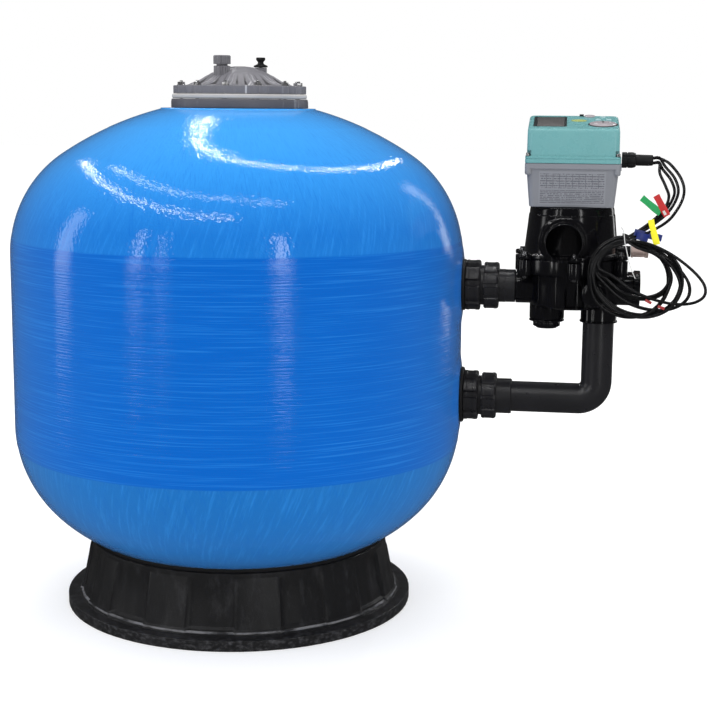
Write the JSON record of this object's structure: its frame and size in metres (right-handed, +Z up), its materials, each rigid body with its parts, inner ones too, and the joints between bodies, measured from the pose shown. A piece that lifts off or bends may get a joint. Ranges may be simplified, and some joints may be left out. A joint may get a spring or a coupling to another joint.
{
  "type": "sand filter",
  "caption": "Blue wound sand filter vessel on a ring stand, with side pipework and an electric multiport valve.",
  "frame": {"origin": "On the floor, in the middle of the length and the depth of the filter without its cables.", "axes": "+X from the vessel towards the valve, -Y out of the valve's open port, +Z up"},
  "size_m": [1.399, 0.92, 1.1245],
  "materials": {
    "vessel": "wound glass fibre under clear blue resin",
    "stand": "moulded, slightly rough",
    "pipe": "smooth moulded",
    "lid": "moulded, fibre filled",
    "seal": "pale ring",
    "rubber": "dull",
    "steel": "bright",
    "case": "fine texture",
    "cover": "satin",
    "window": "smoked",
    "dial": "satin",
    "key": "satin",
    "clear": "clear, slightly stained",
    "gear": "moulded",
    "cable": "satin sheath"
  },
  "bodies": {
    "filter": {"tank_shell": "vessel", "base_stand": "stand", "upper_bulkhead": "pipe", "upper_bulkhead_nut": "pipe", "upper_union_tail": "pipe", "lower_bulkhead": "pipe", "lower_bulkhead_nut": "pipe", "lower_union_tail": "pipe", "bend_pipe": "pipe", "inlet_diffuser": "pipe", "underdrain": "pipe", "valve_body": "pipe", "valve_bonnet": "pipe", "side_port_cap": "pipe", "neck_flange": "lid", "tank_lid": "lid", "air_vent_body": "lid", "relief_valve_body": "lid", "lid_gasket": "seal", "upper_bulkhead_seal": "rubber", "lower_bulkhead_seal": "rubber", "cable_gland": "rubber", "cable_sleeve": "rubber", "lid_bolt_01": "steel", "lid_bolt_02": "steel", "lid_bolt_03": "steel", "lid_bolt_04": "steel", "lid_bolt_05": "steel", "lid_bolt_06": "steel", "lid_bolt_07": "steel", "lid_bolt_08": "steel", "lid_bolt_09": "steel", "lid_bolt_10": "steel", "lid_bolt_11": "steel", "lid_bolt_12": "steel", "rotor_spring": "steel", "drive_motor": "steel", "actuator_base": "case", "actuator_lid": "cover", "display_window": "window", "sight_glass": "clear", "control_cable_1": "cable", "control_cable_2": "cable", "control_cable_3": "cable", "control_cable_4": "cable", "cable_hank": "cable"},
    "vent_cap": {"air_vent_cap": "lid"},
    "relief_knob": {"relief_valve_knob": "rubber"},
    "upper_nut": {"upper_union_nut": "pipe"},
    "lower_nut": {"lower_union_nut": "pipe"},
    "rotor": {"valve_rotor": "gear", "valve_stem": "steel", "output_gear": "gear"},
    "pinion": {"motor_pinion": "gear"},
    "dial": {"selector_dial": "dial"},
    "key_left_cap": {"key_left": "key"},
    "key_right_cap": {"key_right": "key"},
    "key_up_cap": {"key_up": "key"},
    "plug": {"drain_plug": "pipe"}
  },
  "joints": [
    {"name": "vent_cap_turn", "type": "hinge", "parent": "filter", "child": "vent_cap", "pos_m": [-0.212, -0.045, 1.115], "axis": [0, 0, 1], "range_deg": [0, 360]},
    {"name": "relief_knob_turn", "type": "hinge", "parent": "filter", "child": "relief_knob", "pos_m": [-0.15, 0.035, 1.11], "axis": [0, 0, 1], "range_deg": [0, 270]},
    {"name": "upper_nut_turn", "type": "hinge", "parent": "filter", "child": "upper_nut", "pos_m": [0.33, 0, 0.673], "axis": [1, 0, 0], "range_deg": [0, 360]},
    {"name": "lower_nut_turn", "type": "hinge", "parent": "filter", "child": "lower_nut", "pos_m": [0.33, 0, 0.447], "axis": [1, 0, 0], "range_deg": [0, 360]},
    {"name": "rotor_turn", "type": "hinge", "parent": "filter", "child": "rotor", "pos_m": [0.487, 0, 0.7], "axis": [0, 0, 1], "continuous": true},
    {"name": "pinion_turn", "type": "hinge", "parent": "filter", "child": "pinion", "pos_m": [0.5262, 0, 0.89], "axis": [0, 0, 1], "continuous": true},
    {"name": "dial_turn", "type": "hinge", "parent": "filter", "child": "dial", "pos_m": [0.541, -0.02369, 0.99557], "axis": [0, -0.1616, 0.9869], "range_deg": [-150, 150]},
    {"name": "key_left_press", "type": "slide", "parent": "filter", "child": "key_left_cap", "axis": [0, 0.1616, -0.9869], "range_m": [0, 0.0015], "stiffness_N_per_m": 300, "springref_m": -0.0005},
    {"name": "key_right_press", "type": "slide", "parent": "filter", "child": "key_right_cap", "axis": [0, 0.1616, -0.9869], "range_m": [0, 0.0015], "stiffness_N_per_m": 300, "springref_m": -0.0005},
    {"name": "key_up_press", "type": "slide", "parent": "filter", "child": "key_up_cap", "axis": [0, 0.1616, -0.9869], "range_m": [0, 0.0015], "stiffness_N_per_m": 300, "springref_m": -0.0005},
    {"name": "drain_plug_turn", "type": "hinge", "parent": "filter", "child": "plug", "pos_m": [0.443, 0, 0.6], "axis": [0, 0, 1], "range_deg": [0, 360]}
  ],
  "couplings": [
    {"joint": "pinion_turn", "follows": "rotor_turn", "ratio": -2.5}
  ]
}
